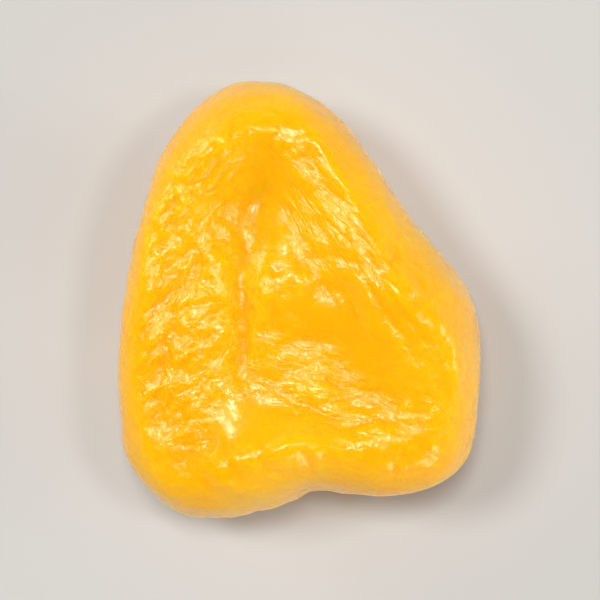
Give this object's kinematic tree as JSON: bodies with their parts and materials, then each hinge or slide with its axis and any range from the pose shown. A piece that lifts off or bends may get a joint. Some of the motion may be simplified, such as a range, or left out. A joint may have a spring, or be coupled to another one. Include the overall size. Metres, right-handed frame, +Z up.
{
  "type": "dried lemon",
  "caption": "Small whole candied and dried lemon: a glossy, translucent yellow pillow of fruit with a truncated-triangle outline, sunken crinkled faces, rounded rims and soft folds.",
  "frame": {"origin": "middle of the fruit's bounding box, on the surface that it rests on", "axes": "+Y along the fruit's length, towards its narrow end; +Z up through its thickness, towards the sunken crinkled face; +X across its width"},
  "size_m": [0.028, 0.034, 0.018],
  "materials": {
    "candied_peel": "glossy, translucent, syrup-glazed dried peel"
  },
  "bodies": {
    "root": {"dried_lemon": "candied_peel"}
  },
  "joints": []
}
